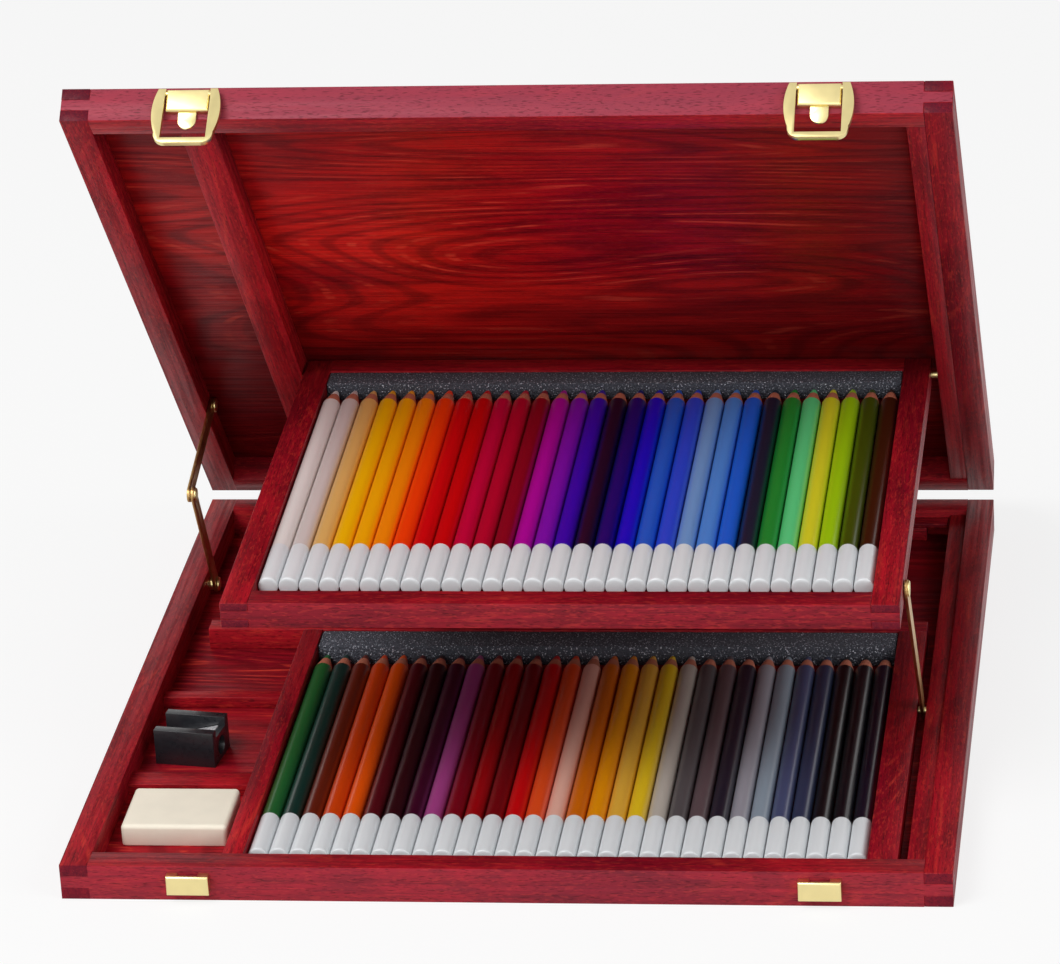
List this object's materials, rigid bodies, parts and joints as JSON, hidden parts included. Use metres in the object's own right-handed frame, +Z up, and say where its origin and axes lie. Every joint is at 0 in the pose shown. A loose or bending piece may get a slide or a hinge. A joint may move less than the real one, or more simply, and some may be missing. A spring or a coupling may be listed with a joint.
{
  "type": "pencil case",
  "caption": "Flat wooden pencil case with a hinged lid, a tray that lifts level with it on a side arm, a folding stay, bail latches, rows of coloured pencils and compartments for small tools.",
  "frame": {"origin": "middle of the case's underside", "axes": "+X to the right of someone at the latches, +Y from the latches to the hinges, +Z up"},
  "size_m": [0.343, 0.3581, 0.2853],
  "materials": {
    "stained_wood": "dark red-brown stained wood with fine grain, satin varnish",
    "panel": "dark red-brown stained plywood, satin varnish",
    "brass": "satin pale brass plate",
    "foam": "dark grey open-cell foam",
    "pencils": "satin lacquer in many colours",
    "eraser": "matte cream vinyl",
    "sharpener": "satin black plastic",
    "steel": "bright ground steel"
  },
  "bodies": {
    "base": {"base_front_rail": "stained_wood", "base_rear_rail": "stained_wood", "base_left_rail": "stained_wood", "base_right_rail": "stained_wood", "base_floor_panel": "panel", "compartment_divider": "stained_wood", "slot_strip": "stained_wood", "side_ledge": "stained_wood", "base_cross_rail": "stained_wood", "front_compartment_rail": "stained_wood", "rear_compartment_rail": "stained_wood", "rear_block": "stained_wood", "rear_ledge": "stained_wood", "lower_foam_strip": "foam", "lower_pencils": "pencils", "eraser": "eraser", "sharpener_body": "sharpener", "sharpener_blade": "steel", "sharpener_screw": "steel", "arm_base_pin": "brass", "stay_base_screw": "brass", "hinge_base_leaf_left": "brass", "hinge_base_leaf_right": "brass", "hinge_pin_left": "brass", "hinge_pin_right": "brass", "hinge_base_screws": "brass", "catch_left": "brass", "catch_right": "brass", "catch_pins": "brass"},
    "lid": {"lid_front_rail": "stained_wood", "lid_rear_rail": "stained_wood", "lid_left_rail": "stained_wood", "lid_right_rail": "stained_wood", "lid_panel": "panel", "lid_left_lath": "stained_wood", "lid_right_lath": "stained_wood", "tray_pin_left": "brass", "tray_pin_right": "brass", "stay_lid_screw": "brass", "hinge_lid_leaf_left": "brass", "hinge_lid_leaf_right": "brass", "hinge_lid_screws": "brass", "latch_plate_left": "brass", "latch_plate_right": "brass"},
    "tray": {"tray_front_rail": "stained_wood", "tray_rear_rail": "stained_wood", "tray_left_rail": "stained_wood", "tray_right_rail": "stained_wood", "tray_floor_panel": "panel", "upper_foam_strip": "foam", "upper_pencils": "pencils"},
    "tray_arm": {"tray_arm": "brass", "tray_arm_rivet": "brass"},
    "stay_lower": {"stay_lower_arm": "brass", "knee_rivet": "brass"},
    "stay_upper": {"stay_upper_arm": "brass"},
    "bail_left": {"latch_bail_left": "brass"},
    "bail_right": {"latch_bail_right": "brass"}
  },
  "joints": [
    {"name": "lid_hinge", "type": "hinge", "parent": "base", "child": "lid", "pos_m": [0, 0.1754, 0.01465], "axis": [-1, 0, 0], "range_deg": [-48.7, 0]},
    {"name": "tray_pivot", "type": "hinge", "parent": "lid", "child": "tray", "pos_m": [0, 0.103, 0.10199], "axis": [1, 0, 0], "range_deg": [-50.69, 0]},
    {"name": "tray_arm_pivot", "type": "hinge", "parent": "base", "child": "tray_arm", "pos_m": [0.1515, -0.019, 0.0072], "axis": [-1, 0, 0], "range_deg": [-45.21, 0]},
    {"name": "stay_lower_pivot", "type": "hinge", "parent": "base", "child": "stay_lower", "pos_m": [-0.1577, 0.0986, 0.00745], "axis": [-1, 0, 0], "range_deg": [-55.15, 0]},
    {"name": "stay_upper_pivot", "type": "hinge", "parent": "lid", "child": "stay_upper", "pos_m": [-0.1594, 0.13012, 0.0771], "axis": [1, 0, 0], "range_deg": [-55.15, 0]},
    {"name": "bail_left_pivot", "type": "hinge", "parent": "lid", "child": "bail_left", "pos_m": [-0.1213, -0.04711, 0.28346], "axis": [-1, 0, 0], "range_deg": [-9, 140]},
    {"name": "bail_right_pivot", "type": "hinge", "parent": "lid", "child": "bail_right", "pos_m": [0.1213, -0.04711, 0.28346], "axis": [-1, 0, 0], "range_deg": [-9, 140]}
  ],
  "couplings": [
    {"joint": "tray_pivot", "follows": "lid_hinge", "ratio": 1.0406},
    {"joint": "tray_arm_pivot", "follows": "lid_hinge", "ratio": 0.92809},
    {"joint": "stay_lower_pivot", "follows": "lid_hinge", "ratio": 1.1323},
    {"joint": "stay_upper_pivot", "follows": "lid_hinge", "ratio": 1.1323}
  ]
}
